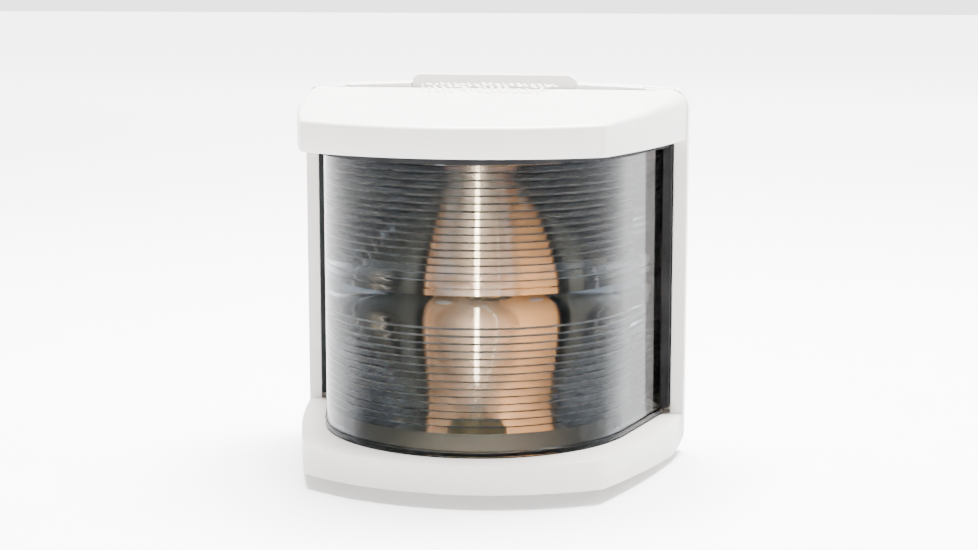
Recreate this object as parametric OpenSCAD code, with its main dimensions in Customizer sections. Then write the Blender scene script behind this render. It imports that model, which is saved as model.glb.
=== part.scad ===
// Navigation light for a small boat: a ribbed clear lens held between a
// tray-shaped base with a back plate and a domed cap, round a bayonet bulb.
// The cap and the lens lift off together once the catch is pressed.
// Origin: middle of the mounting face, at the height of the light centre.
// +Z is up, -Y points away from the wall.

/* [Housing] */
// Half width of the tray and the cap at the wall, mm
half_w = 55.6; // [50:0.2:60]
// Half width between the two front corners, mm
front_half = 40; // [34:0.5:46]
// Distance from the wall to the front corners, mm
corner_y = 61; // [52:0.5:70]
// Rise of the curved front ahead of its corners, mm
front_rise = 12.5; // [6:0.5:18]
// Outward rise of the curved sides, mm
side_rise = 1.9; // [0.5:0.1:4]
// Half width of the back plate, mm
plate_half = 55.2; // [51:0.1:62]
// Thickness of the back plate, mm
plate_t = 5; // [4.5:0.25:7]
// Underside of the tray at the wall, on the centre line, mm
tray_bottom = -50.3; // [-54:0.1:-49]
// Radius of the underside across the tray, mm
keel_r = 1200; // [600:50:2000]
// Rise of the underside towards the front, degrees
keel_tilt = 3; // [1:0.25:3.5]
// Ledge of the tray below the light centre, mm
ledge_z = -38.7; // [-40:0.1:-38]
// Wall thickness of the mouldings, mm
wall = 2.5; // [2:0.1:3]

/* [Cap] */
// Lower edge of the cap above the light centre, mm
cap_bottom = 39.6; // [39:0.1:41]
// Top of the cap at the wall, on the centre line, mm
crown_z = 55.4; // [53:0.2:58]
// Radius of the crown across the cap, mm
crown_r = 800; // [400:50:1500]
// Forward slope of the cap top, degrees
crown_tilt = 6; // [3:0.25:8]
// Bevel along the front of the cap top, mm
cap_bevel = 0.9; // [0.3:0.1:1.5]

/* [Lens] */
// Outer radius of the curved front of the lens, mm
lens_r = 43; // [38:0.5:46]
// Distance from the wall to the centre of that curve, mm
lens_cy = 23; // [20:0.5:30]
// Half angle of the curved front, degrees
lens_arc = 76; // [60:1:80]
// Plain wall thickness of the lens, mm
lens_t = 2.2; // [1.8:0.1:3]
// Height of one rib, mm
rib_pitch = 2; // [1.5:0.1:3]
// Ribs above the centre band
ribs_up = 17; // [10:1:17]
// Ribs below the centre band
ribs_down = 15; // [10:1:15]
// Half height of the centre band, mm
band_half = 3.5; // [2:0.25:5]

/* [Mounting] */
// Distance between the two wall screws, mm
screw_span = 64; // [56:1:70]
// Wall screw hole, mm
screw_d = 4.4; // [3.5:0.1:5.5]
// Cable hole through the grommet, mm
cable_d = 6; // [4:0.5:8]

/* [Catch] */
// Width of the release catch, mm
catch_w = 47; // [36:1:50]
// Height of the catch above the light centre, mm
catch_top = 57.1; // [56:0.1:60]

/* [Bulb] */
// Distance from the wall to the bulb axis, mm
bulb_y = 28; // [26:0.5:32]
// Diameter of the glass, mm
glass_d = 25; // [18:0.5:26]
// Diameter of the bayonet shell, mm
shell_d = 15; // [15:0.1:15.3]
// Pins below the light centre, mm
pin_z = -31.8; // [-33:0.1:-30]

/* [Hidden] */
$fn = 96;
eps = 0.01;
reach = 130;          // larger than the light, for cutting shapes

plate_low = 6;        // corner radii of the back plate
plate_high = 8;

// plan outline of tray and cap: three arcs and the wall line
front_r = (front_half * front_half + front_rise * front_rise) / (2 * front_rise);
front_cy = -corner_y - front_rise + front_r;
chord = norm([half_w - front_half, corner_y]);
side_r = (chord * chord / 4 + side_rise * side_rise) / (2 * side_rise);
side_nx = corner_y / chord;
side_ny = -(half_w - front_half) / chord;
side_cx = (half_w + front_half) / 2 - side_nx * (side_r - side_rise);
side_cy = -corner_y / 2 - side_ny * (side_r - side_rise);

front_top = crown_z - (corner_y + front_rise) * tan(crown_tilt);

cap_roof = wall + 1.4;  // depth of the flat ceiling under the crown line

// lens path: an arc, then two straight flared sides
lens_tx = lens_r * sin(lens_arc);
lens_ty = -lens_cy - lens_r * cos(lens_arc);
lens_back = -3.6;     // rear edge of the lens
lens_lap = 0.6;       // how far the straight sides run into the arc
lens_side = (lens_back + 1 - lens_ty) / sin(lens_arc);
lens_ex = lens_tx + lens_side * cos(lens_arc);
lens_bottom = -38.4;
lens_top = 43;
lug_t = 2.5;
flange_h = 1.5;
flange_out = 0.6;
focus = lens_cy + lens_r - lens_t - bulb_y;  // inner wall to the bulb axis
index = 1.49;         // of the lens plastic
lift = 6.6;           // rise of the beam inside the lens, degrees, and
lift_fall = 0.075;    // how much less it is for each mm up
aim_off = 2;          // ribs aim this far off the light centre, on their own side
draft_up = 0.35;      // height of the short flank of a rib, above the band
draft_down = 0.7;     // and below it
steepest_up = 37;     // limits of the rib slopes, degrees
steepest_down = 50.5;
band_bulge = 0.9;     // centre band, deepest in its middle
band_foot = 0.1;

// cover grooves in the back plate
groove_in = 42.6;
groove_out = 51.6;
groove_y = 2.4;
run_gap = 0.4;        // clearance of the cover along the plate
cap_back = plate_t + 0.3;
seal_front = 6.2;     // front of the side seals, from the wall
seal_foot = -36.8;

// catch
pocket_bottom = 36;
pocket_back = 1;
pocket_w = catch_w + 0.8;
pivot_y = -3.2;
pivot_z = 39;
pin_r = 0.8;
pin_len = catch_w + 6;
catch_front = -4.4;
catch_t = 2.2;
barb_z = 44.4;
barb_h = 2.2;
barb_w = 11;
coil_gap = 8;

// light screen and heat shield
screen_t = 1.2;
screen_half = 41.5;
screen_top = 38.8;
screen_hole = 1.6;
notch_depth = 20;     // cuts that go right through the screen and the shield
floor_t = 0.8;
floor_gap = 0.4;      // clearance round the lamp holder
floor_cut = 4;
floor_r = lens_r - lens_t - 0.6;
floor_tx = floor_r * sin(lens_arc);
floor_ty = -lens_cy - floor_r * cos(lens_arc);
floor_ex = floor_tx + (-plate_t - floor_ty) / tan(lens_arc);
shield_t = 0.8;
shield_half = 19.5;
shield_y = plate_t + screen_t;
shield_top = 36.4;
shield_bottom = -37.4;
shield_lip = 3;       // depth of its folded edges
shield_reach = 40;
screen_screw_x = 15;
screen_screw_z = [-20, 29];

// base
stiffener_x = 27;     // ribs under the tray
stiffener_t = 2;
stiffener_len = 52;
recess_half = 24;     // recess in the back
recess_low = -12;
recess_h = 34;
drain_x = 22;
drain_w = 2;
drain_len = 5;
tray_cut = 15;        // cuts up through the ledge of the tray
boss_r = 3.2;
holder_pilot = 1.25;  // screw threads of the lamp holder and of the screen
screen_pilot = 1.1;
seal_w = 2.8;
seal_sink = 1.2;      // how deep the bottom seal sits in the ledge

// wall screws and cable entry
countersink = 2.2;
washer_r = 5;
grommet_z = -30;
grommet_r = 5.5;
lip_r = 7;
lip_t = 1.4;

// lamp holder
tray_top_t = 2.8;
cup_r = 9.8;
holder_r = 12;
cup_bottom = -45.6;
cup_floor = -44.4;
holder_top = -35.6;
sleeve_r = 8.5;
sleeve_in = 7.95;
sleeve_top = -21;
sleeve_foot = -41.5;
ear_x = 15.5;
ear_r = 3.6;
tail_w = 24;
tail_y = 9.5;
term_x = 6.6;
term_y = 14.5;
term_w = 6.4;
term_h = 6;
twist = 20;
push = 1.5;
slot_gap = 0.3;
bulb_pin_r = 1;
bulb_pin_reach = 8.4;

// contacts
contact_x = 3;
disc_r = 7.55;
disc_top = -40.6;
disc_t = 1.4;
rivet_r = 1.5;
lead_r = 0.35;
lead_y = 17.1;
lead_z = -42.5;
lead_hole = 0.9;

// bulb
shell_r = shell_d / 2;
shell_top = -19.4;
shell_bottom = -38.4;
neck_r = 7;
glass_r = glass_d / 2;
glass_t = 0.7;
coil_low = -8.56;
coil_high = 4.6;
coil_halves = 28;
post_x = 6.4;
post_foot = -10;
post_rise = 8;
wire_r = 0.25;
knuckle_gap = 0.03;   // where a coil's half turns stop short of their knuckle

// ---------- shared shapes ----------

// outline of tray and cap seen from above, moved in by inset
module plan(inset, back) {
    intersection() {
        translate([0, front_cy]) circle(r = front_r - inset, $fn = 360);
        translate([side_cx, side_cy]) circle(r = side_r - inset, $fn = 720);
        translate([-side_cx, side_cy]) circle(r = side_r - inset, $fn = 720);
        translate([-reach / 2, -reach]) square([reach, reach - back]);
    }
}

// everything below the crowned top, lowered by drop
module under_crown(drop) {
    translate([0, 0, crown_z - drop]) rotate([crown_tilt, 0, 0])
        translate([0, 0, -crown_r]) rotate([90, 0, 0])
            cylinder(r = crown_r, h = 2 * reach, center = true, $fn = 1440);
}

// everything above the crowned underside
module over_keel() {
    mirror([0, 0, 1]) translate([0, 0, -tray_bottom]) rotate([keel_tilt, 0, 0])
        translate([0, 0, -keel_r]) rotate([90, 0, 0])
            cylinder(r = keel_r, h = 2 * reach, center = true, $fn = 1440);
}

// everything below a plane sloping like the crown, lowered by drop
module under_slope(drop) {
    translate([0, 0, crown_z - drop]) rotate([crown_tilt, 0, 0])
        translate([-reach / 2, -reach, -reach]) cube([reach, 2 * reach, reach]);
}

// rounded outline of the back plate, seen from the front
module plate_outline(r_low, r_high) {
    union() {
        translate([-plate_half, tray_bottom + r_low])
            square([2 * plate_half, crown_z - tray_bottom - r_low - r_high]);
        translate([-plate_half + r_low, tray_bottom])
            square([2 * (plate_half - r_low), r_low]);
        translate([-plate_half + r_high, crown_z - r_high])
            square([2 * (plate_half - r_high), r_high]);
        for (s = [-1, 1]) {
            translate([s * (plate_half - r_low), tray_bottom + r_low]) circle(r = r_low);
            translate([s * (plate_half - r_high), crown_z - r_high]) circle(r = r_high);
        }
    }
}

// runs a profile along the lens; profile x = 0 is the outer face, y is height
module along_lens(back) {
    intersection() {
        union() {
            translate([0, -lens_cy, 0]) rotate([0, 0, 270 - lens_arc])
                rotate_extrude(angle = 2 * lens_arc) translate([lens_r, 0]) children();
            for (s = [0, 1]) mirror([s, 0, 0])
                translate([lens_ex, lens_back + 1, 0]) rotate([90, 0, lens_arc - 90])
                    linear_extrude(height = lens_side + lens_lap) children();
        }
        translate([-reach / 2, -reach, -reach / 2]) cube([reach, reach - back, reach]);
    }
}

// coil standing on +Z: half turns tilted one way and the other, with a round
// knuckle where two of them meet
module coil(r, wire, rise, halves, shrink = 0) {
    for (i = [0 : halves - 1]) {
        sgn = i % 2 == 0 ? 1 : -1;
        span = 2 * (r - i * shrink) - shrink;
        m = norm([span, rise]) / 2;
        trim = knuckle_gap / m * 57.3;
        translate([sgn * shrink / 2, 0, (i + 0.5) * rise])
            rotate([0, sgn * atan2(rise, span), 0])
                rotate([0, 0, trim + (i % 2 == 0 ? 0 : 180)])
                    rotate_extrude(angle = 180 - 2 * trim) translate([m, 0])
                        circle(r = wire / 2, $fn = 24);
        if (i > 0) translate([sgn * (r - i * shrink), 0, i * rise])
            sphere(r = wire * 0.54, $fn = 24);
    }
}

// pan-head screw pointing along -Z, head underside at the origin
module screw(head_r, head_h, shank_r, len) {
    difference() {
        union() {
            cylinder(r = head_r, h = head_h);
            translate([0, 0, -len]) cylinder(r = shank_r, h = len + eps);
        }
        for (a = [0, 90]) rotate([0, 0, a])
            translate([-head_r * 0.6, -0.35, head_h * 0.45]) cube([head_r * 1.2, 0.7, head_h]);
    }
}

// ---------- base ----------

module base_housing() color("white") difference() {
    intersection() {
        union() {
            // back plate
            rotate([90, 0, 0]) linear_extrude(height = plate_t)
                 plate_outline(plate_low, plate_high);
            // tray with a hollow underside
            difference() {
                translate([0, 0, tray_bottom])
                    linear_extrude(height = ledge_z - tray_bottom) plan(0, 0);
                translate([0, 0, tray_bottom - 1])
                    linear_extrude(height = ledge_z - tray_top_t - tray_bottom + 1) plan(wall, plate_t);
            }
            // bosses for the holder screws
            for (s = [-1, 1]) translate([s * ear_x, -bulb_y, cup_bottom])
                cylinder(r = boss_r, h = ledge_z - cup_bottom - 1);
            // stiffening ribs under the tray
            for (s = [-1, 1])
                translate([s * stiffener_x - stiffener_t / 2, -3 - stiffener_len, ledge_z - tray_top_t - 2.4])
                    cube([stiffener_t, stiffener_len, 3]);
        }
        under_crown(0);
        over_keel();
        translate([0, 1, 0]) rotate([90, 0, 0])
            linear_extrude(height = reach) plate_outline(plate_low, plate_high);
    }
    // recess in the back
    translate([-recess_half, -groove_y, recess_low])
        cube([2 * recess_half, groove_y + 1, recess_h]);
    // grooves the cover runs in
    for (s = [0, 1]) mirror([s, 0, 0])
        translate([groove_in, -plate_t - 1, ledge_z])
            cube([groove_out - groove_in, plate_t + 1 - groove_y, reach]);
    // groove for the bottom seal
    along_lens(plate_t) translate([-seal_w, ledge_z - seal_sink]) square([seal_w + 0.4, 3]);
    // pocket and pin holes of the catch
    translate([-pocket_w / 2, -plate_t - 1, pocket_bottom])
        cube([pocket_w, plate_t + 1 - pocket_back, reach]);
    translate([-pin_len / 2, pivot_y, pivot_z]) rotate([0, 90, 0])
        cylinder(r = pin_r, h = pin_len);
    // wall screw holes, countersunk inside
    for (s = [-1, 1]) translate([s * screw_span / 2, 1, 0]) rotate([90, 0, 0]) {
        cylinder(r = screw_d / 2, h = plate_t + 2);
        translate([0, 0, plate_t - 1])
            cylinder(r1 = screw_d / 2, r2 = screw_d / 2 + countersink, h = countersink);
    }
    // cable hole
    translate([0, 1, grommet_z]) rotate([90, 0, 0]) cylinder(r = grommet_r, h = plate_t + 2);
    // opening for the lamp holder cup and the leads
    translate([0, -bulb_y, tray_bottom - 1]) cylinder(r = cup_r + 0.2, h = tray_cut);
    for (s = [-1, 1]) translate([s * contact_x, -lead_y, tray_bottom])
        cylinder(r = lead_hole, h = tray_cut);
    // pilot holes of the holder screws and the screen screws
    for (s = [-1, 1]) translate([s * ear_x, -bulb_y, cup_bottom + 0.8])
        cylinder(r = holder_pilot, h = tray_cut);
    for (s = [-1, 1], z = screen_screw_z)
        translate([s * screen_screw_x, -1.2, z]) rotate([90, 0, 0])
            cylinder(r = screen_pilot, h = plate_t + 1);
    // drain slots in the ledge
    for (s = [-1, 1]) translate([s * drain_x - drain_w / 2, -plate_t - drain_len - 2, ledge_z - 5])
        cube([drain_w, drain_len, 8]);
}

// black panel behind the bulb and black floor inside the lens, one moulding
module light_screen() color("#1d2224") difference() {
    union() {
        translate([-screen_half, -plate_t - screen_t, ledge_z])
            cube([2 * screen_half, screen_t, screen_top - ledge_z]);
        translate([0, 0, ledge_z]) linear_extrude(height = floor_t) {
            intersection() {
                translate([0, -lens_cy]) circle(r = floor_r);
                translate([-reach / 2, -reach]) square([reach, reach - plate_t]);
            }
            polygon([[-floor_tx, floor_ty], [floor_tx, floor_ty],
                [floor_ex, -plate_t], [-floor_ex, -plate_t]]);
        }
    }
    // room for the lamp holder and the drain slots
    translate([0, -bulb_y, ledge_z - 1]) {
        cylinder(r = holder_r + floor_gap, h = floor_cut);
        translate([-ear_x - ear_r - floor_gap, -ear_r - floor_gap, 0])
            cube([2 * (ear_x + ear_r + floor_gap), 2 * (ear_r + floor_gap), floor_cut]);
        translate([-tail_w / 2 - floor_gap, 0, 0])
            cube([tail_w + 2 * floor_gap, bulb_y - plate_t - 0.5, floor_cut]);
    }
    for (s = [-1, 1]) translate([s * drain_x - drain_w / 2 - 0.2, -plate_t - drain_len - 2.2, ledge_z - 1])
        cube([drain_w + 0.4, drain_len + 0.4, floor_cut]);
    grommet_notch();
    for (s = [-1, 1]) translate([s * screw_span / 2, 0, 0]) rotate([90, 0, 0])
        cylinder(r = washer_r, h = notch_depth);
    screen_screw_holes();
}

// clearance holes of the screws through the screen and the shield
module screen_screw_holes()
    for (s = [-1, 1], z = screen_screw_z)
        translate([s * screen_screw_x, 0, z]) rotate([90, 0, 0])
            cylinder(r = screen_hole, h = notch_depth);

// slot round the grommet, open at the bottom
module grommet_notch() {
    translate([0, 0, grommet_z]) rotate([90, 0, 0]) cylinder(r = lip_r + 1, h = notch_depth);
    translate([-lip_r - 1, -notch_depth, ledge_z - 1])
        cube([2 * lip_r + 2, notch_depth, grommet_z - ledge_z + 1]);
}

module heat_shield() color("#c9ccce") difference() {
    union() {
        translate([-shield_half, -shield_y - shield_t, shield_bottom])
            cube([2 * shield_half, shield_t, shield_top - shield_bottom]);
        // roof over the bulb
        translate([-shield_half, -shield_y - shield_reach, shield_top - shield_t])
            cube([2 * shield_half, shield_reach, shield_t]);
        // stiffening edges
        for (s = [0, 1]) mirror([s, 0, 0])
            translate([shield_half - shield_t, -shield_y - shield_lip, shield_bottom])
                cube([shield_t, shield_lip, shield_top - shield_bottom]);
    }
    screen_screw_holes();
    grommet_notch();
}

module screen_screws() color("#b9bcc0")
    for (s = [-1, 1], z = screen_screw_z)
        translate([s * screen_screw_x, -shield_y - shield_t, z]) rotate([90, 0, 0])
            screw(2.4, 1.4, screen_pilot, 4.6);

module bottom_seal() color("#161718")
    along_lens(plate_t + 0.2) translate([0.2 - seal_w, ledge_z - seal_sink])
        square([seal_w, seal_sink + 0.2]);

module cable_grommet() color("#1b1b1c")
    translate([0, 0, grommet_z]) rotate([90, 0, 0]) difference() {
        union() {
            translate([0, 0, 0.4]) cylinder(r = grommet_r, h = plate_t - 0.4);
            translate([0, 0, plate_t]) cylinder(r = lip_r, h = lip_t);
            translate([0, 0, plate_t + lip_t]) cylinder(r1 = lip_r - 1, r2 = cable_d / 2 + 1, h = 1.6);
        }
        translate([0, 0, -1]) cylinder(r = cable_d / 2, h = 12);
    }

// ---------- lamp holder ----------

module lamp_holder() color("#2a2624") difference() {
    union() {
        translate([0, -bulb_y, cup_bottom]) cylinder(r = cup_r, h = holder_top - cup_bottom);
        translate([0, -bulb_y, ledge_z]) cylinder(r = holder_r, h = holder_top - ledge_z);
        translate([-tail_w / 2, -bulb_y, ledge_z])
            cube([tail_w, bulb_y - tail_y, holder_top - ledge_z]);
        for (s = [-1, 1]) translate([s * ear_x, -bulb_y, ledge_z])
            cylinder(r = ear_r, h = holder_top - ledge_z);
        translate([-ear_x, -bulb_y - ear_r, ledge_z])
            cube([2 * ear_x, 2 * ear_r, holder_top - ledge_z]);
        // barrier between the terminals
        translate([-0.8, -term_y - 4.4, holder_top - eps]) cube([1.6, 8.8, 7]);
    }
    // bore for the sleeve and the sprung disc
    translate([0, -bulb_y, sleeve_foot]) cylinder(r = sleeve_r, h = 20);
    translate([0, -bulb_y, cup_floor]) cylinder(r = sleeve_in, h = 20);
    // slots for the leads at the rear of the cup, and their way up
    for (s = [-1, 1]) translate([s * contact_x - 1, -bulb_y, cup_floor])
        cube([2, 12, lead_z + 0.6 - cup_floor]);
    for (s = [-1, 1]) translate([s * contact_x, -lead_y, ledge_z - 1])
        cylinder(r = lead_hole, h = 6);
    for (s = [-1, 1]) translate([s * ear_x, -bulb_y, ledge_z - 1]) cylinder(r = 1.7, h = 6);
}

module socket_sleeve() color("#c8a560") translate([0, -bulb_y, 0]) difference() {
    translate([0, 0, sleeve_foot]) cylinder(r = sleeve_r, h = sleeve_top - sleeve_foot);
    translate([0, 0, sleeve_foot - 1]) cylinder(r = sleeve_in, h = sleeve_top - sleeve_foot + 2);
    // bayonet windows and their entry slots
    for (a = [0, 180]) rotate([0, 0, a]) {
        rotate([0, 0, -9.5]) translate([0, 0, pin_z - push - bulb_pin_r - slot_gap])
            rotate_extrude(angle = twist + 19) translate([sleeve_in - 1, 0])
                square([3, push + 2 * bulb_pin_r + 2 * slot_gap]);
        rotate([0, 0, twist]) translate([sleeve_in - 1, -bulb_pin_r - slot_gap, pin_z])
            cube([3, 2 * (bulb_pin_r + slot_gap), 20]);
    }
}

module holder_screws() color("#b9bcc0")
    for (s = [-1, 1]) translate([s * ear_x, -bulb_y, holder_top])
        screw(2.9, 1.9, holder_pilot, 8.4);

module terminals() color("#cdae6a")
    for (s = [-1, 1]) translate([s * term_x, -term_y, holder_top]) difference() {
        translate([-term_w / 2, -3.5, 0]) cube([term_w, 7, term_h]);
        translate([0, 0, term_h / 2]) rotate([90, 0, 0]) cylinder(r = 1.4, h = 10, center = true);
        translate([0, 0, term_h / 2]) cylinder(r = 1.3, h = term_h);
    }

module terminal_screws() color("#b9bcc0")
    for (s = [-1, 1]) translate([s * term_x, -term_y, holder_top + term_h])
        screw(2.2, 1.3, 1.3, 2.4);

module contact_disc() color("#5b3a22") translate([0, -bulb_y, disc_top - disc_t])
    difference() {
        cylinder(r = disc_r, h = disc_t);
        for (s = [-1, 1]) translate([s * contact_x, 0, -1]) cylinder(r = 0.8, h = 4);
    }

module contact_rivets() color("#d2b36c")
    for (s = [-1, 1]) translate([s * contact_x, -bulb_y, 0]) {
        translate([0, 0, disc_top]) cylinder(r = rivet_r, h = 1);
        translate([0, 0, disc_top - disc_t - 0.6]) cylinder(r = 0.8, h = disc_t + 0.7);
        translate([0, 0, disc_top - disc_t - 0.6]) cylinder(r = 1.3, h = 0.6);
    }

module contact_spring() color("#aeb2b6")
    translate([0, -bulb_y, cup_floor + 0.25]) rotate([0, 0, 180]) coil(7.1, 0.5, 0.55, 3, 0.4);

// short leads from the sprung contacts to the terminals
module flex_leads() color("#7a1f1c")
    for (s = [-1, 1]) translate([s * contact_x, 0, 0]) {
        translate([0, -bulb_y + 1.4, lead_z]) rotate([-90, 0, 0])
            cylinder(r = lead_r, h = bulb_y - 1.4 - lead_y);
        translate([0, -lead_y, lead_z]) sphere(r = lead_r);
        translate([0, -lead_y, lead_z]) cylinder(r = lead_r, h = holder_top + 3 - lead_z);
    }

// ---------- catch ----------

module release_catch() color("#e7e3dc") difference() {
    union() {
        translate([0, catch_front, 0]) rotate([-90, 0, 0]) linear_extrude(height = catch_t)
            polygon([[-catch_w / 2, -pivot_z], [catch_w / 2, -pivot_z],
                [catch_w / 2, 1.2 - catch_top], [catch_w / 2 - 1.6, -catch_top],
                [1.6 - catch_w / 2, -catch_top], [-catch_w / 2, 1.2 - catch_top]]);
        translate([-catch_w / 2, pivot_y, pivot_z]) rotate([0, 90, 0])
            cylinder(r = 1.7, h = catch_w);
        translate([-barb_w / 2, catch_front - 0.7, barb_z]) cube([barb_w, 1, barb_h]);
    }
    translate([-catch_w, pivot_y, pivot_z]) rotate([0, 90, 0])
        cylinder(r = pin_r + 0.08, h = 2 * catch_w);
    translate([-coil_gap / 2, -8, pivot_z - 3]) cube([coil_gap, 12, 6]);
}

module catch_pin() color("#b9bcc0")
    translate([-pin_len / 2, pivot_y, pivot_z]) rotate([0, 90, 0])
        cylinder(r = pin_r, h = pin_len);

module catch_spring() color("#aeb2b6") translate([0, pivot_y, pivot_z]) {
    turns = 12;
    rise = 0.35;
    wire = 0.45;
    r = 1.3;
    half = turns * rise / 2;
    translate([-half, 0, 0]) rotate([0, 90, 0]) coil(r, wire, rise, turns);
    // one leg down to the plate, one up behind the catch
    for (leg = [[-half, 2], [half, 1.5]]) translate([leg[0], 0, -r]) {
        sphere(r = wire * 0.54, $fn = 24);
        rotate([-90, 0, 0]) cylinder(r = wire * 0.45, h = leg[1], $fn = 24);
    }
    translate([half, 1.5, -r]) sphere(r = wire * 0.54, $fn = 24);
    translate([half, 1.5, -r]) cylinder(r = wire * 0.45, h = 6, $fn = 24);
}

// ---------- cover ----------

module top_cap() color("white") difference() {
    union() {
        difference() {
            intersection() {
                translate([0, 0, cap_bottom]) linear_extrude(height = 30) plan(0, cap_back);
                under_crown(0);
                // bevel along the front
                translate([0, front_cy, front_top - cap_bevel - 15])
                    cylinder(r1 = front_r + 15, r2 = front_r - 15, h = 30, $fn = 360);
            }
            // hollow
            intersection() {
                translate([0, 0, cap_bottom - 1]) linear_extrude(height = 31)
                    plan(wall, cap_back + wall);
                under_slope(cap_roof);
            }
        }
        // tongues closing the plate grooves
        intersection() {
            for (s = [0, 1]) mirror([s, 0, 0])
                translate([groove_in + run_gap, -cap_back - 1, cap_bottom])
                    cube([groove_out - groove_in - 2 * run_gap, cap_back + 1 - groove_y - run_gap, 30]);
            under_crown(0.02);
        }
        // wall round the top of the lens, and the screw posts
        intersection() {
            union() {
                along_lens(cap_back) translate([0.2, cap_bottom]) square([1.8, 30]);
                for (p = screw_posts) translate([p[0], p[1], lens_top])
                    cylinder(r = 3.2, h = 20);
            }
            under_slope(wall);
        }
    }
    // slot for the rear edges of the lens
    along_lens(-lens_back - 0.1) translate([-lens_t - 0.1, cap_bottom - 1])
        square([lens_t + 0.2, lens_top + 1.1 - cap_bottom]);
    // window for the catch barb
    translate([-barb_w / 2 - 0.5, -cap_back - wall - 1, barb_z - 0.5])
        cube([barb_w + 1, wall + 2, barb_h + 1]);
    for (p = screw_posts) translate([p[0], p[1], lens_top - 1]) cylinder(r = 1.2, h = 7);
}

screw_posts = [[-25, -49], [25, -49], [-37, -15], [37, -15]];

// Depth of the rib at height z that sends light from the filament out,
// rising a little; side is 1 above the centre band and -1 below it
function rib_depth(z, side, steepest, draft) =
    let(aim = atan((abs(z) - aim_off) / focus), rise = lift - lift_fall * z)
        (rib_pitch - draft) * tan(min(steepest,
            atan((sin(aim) - side * index * sin(rise)) / (index * cos(rise) - cos(aim)))));

module lens_profile() {
    up = [for (i = [0 : ribs_up - 1], j = [0, 1])
        let(z0 = band_half + i * rib_pitch, d = rib_depth(z0 + rib_pitch / 2, 1, steepest_up, draft_up))
            j == 0 ? [-lens_t - d, z0] : [-lens_t, z0 + rib_pitch - draft_up]];
    down = [for (i = [ribs_down - 1 : -1 : 0], j = [0, 1])
        let(z0 = -band_half - i * rib_pitch, d = rib_depth(z0 - rib_pitch / 2, -1, steepest_down, draft_down))
            j == 0 ? [-lens_t, z0 - rib_pitch + draft_down] : [-lens_t - d, z0]];
    band = [for (k = [-4 : 4]) [-lens_t - band_foot - band_bulge * (1 - k * k / 16), k * band_half / 4]];
    polygon(concat(
        [[0, lens_top], [0, lens_bottom + flange_h], [flange_out, lens_bottom + flange_h],
            [flange_out, lens_bottom], [-lens_t, lens_bottom]],
        down, band, up, [[-lens_t, lens_top]]));
}

module lens() color([0.9, 0.95, 0.96, 0.35]) difference() {
    union() {
        along_lens(-lens_back) lens_profile();
        // lugs for the screws from below
        intersection() {
            for (p = screw_posts) translate([p[0], p[1], lens_top - lug_t]) {
                cylinder(r = 3.4, h = lug_t);
                if (abs(p[0]) < 30)
                    rotate([0, 0, atan2(p[1] + lens_cy, p[0])])
                        translate([0, -3.4, 0]) cube([20, 6.8, lug_t]);
            }
            translate([0, -lens_cy, lens_top - 5]) cylinder(r = lens_r - 1, h = 10);
        }
        for (s = [0, 1]) mirror([s, 0, 0])
            translate([37, -18.4, lens_top - lug_t]) cube([7.5, 6.8, lug_t]);
    }
    for (p = screw_posts) translate([p[0], p[1], lens_top - 6]) cylinder(r = 1.5, h = 12);
}

module top_seal() color("#161718")
    along_lens(seal_front) translate([0.1, cap_bottom - 1.9]) square([1.9, 1.9]);

// x of the lens side's outer face at a given y
function lens_x(y) = lens_tx + (y - lens_ty) * cos(lens_arc) / sin(lens_arc);

module side_seals() color("#161718")
    for (s = [0, 1]) mirror([s, 0, 0])
        translate([0, 0, seal_foot]) linear_extrude(height = cap_bottom - seal_foot)
            difference() {
                translate([groove_in + run_gap, -seal_front])
                    square([groove_out - groove_in - 2 * run_gap, seal_front - groove_y - run_gap]);
                // seat of the lens edge, open to the inside
                polygon([[lens_x(-seal_front - 1), -seal_front - 1], [lens_x(lens_back), lens_back],
                    [0, lens_back], [0, -seal_front - 1]]);
            }

module lens_screws() color("#b9bcc0")
    for (p = screw_posts) translate([p[0], p[1], lens_top - 2.5]) mirror([0, 0, 1])
        screw(2.5, 1.6, 1.2, 8);

// ---------- bulb ----------

module bulb_base() color("#d4b979") translate([0, -bulb_y, 0]) difference() {
    translate([0, 0, shell_bottom]) cylinder(r = shell_r, h = shell_top - shell_bottom);
    translate([0, 0, shell_bottom - 1]) cylinder(r = shell_r - 0.35, h = 30);
    for (a = [0, 180]) rotate([0, 0, a]) translate([0, 0, pin_z]) rotate([0, 90, 0])
        cylinder(r = bulb_pin_r, h = 10);
}

module bulb_pins() color("#d4b979")
    for (a = [0, 180]) translate([0, -bulb_y, pin_z]) rotate([0, 0, a]) rotate([0, 90, 0])
        translate([0, 0, shell_r - 0.35 - 0.4]) cylinder(r = bulb_pin_r, h = bulb_pin_reach - shell_r + 0.75);

module bulb_insulator() color("#202024") translate([0, -bulb_y, shell_bottom - 0.6])
    cylinder(r = shell_r - 0.4, h = 3);

module bulb_contacts() color("#b8babd")
    for (s = [-1, 1]) translate([s * contact_x, -bulb_y, disc_top + 1.1])
        cylinder(r1 = 1.1, r2 = 1.6, h = shell_bottom - 0.6 - disc_top - 1.1);

module bulb_glass() color([0.92, 0.95, 0.97, 0.3]) translate([0, -bulb_y, 0]) difference() {
    union() {
        translate([0, 0, 0.5]) sphere(r = glass_r);
        translate([0, 0, -24]) cylinder(r = neck_r, h = 14);
        translate([0, 0, -14.5]) cylinder(r1 = neck_r, r2 = 9.6, h = 7);
    }
    translate([0, 0, 0.5]) sphere(r = glass_r - glass_t);
    translate([0, 0, -25]) cylinder(r = neck_r - glass_t, h = 15);
    translate([0, 0, -14.3]) cylinder(r1 = neck_r - glass_t, r2 = 8.8, h = 7);
}

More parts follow.
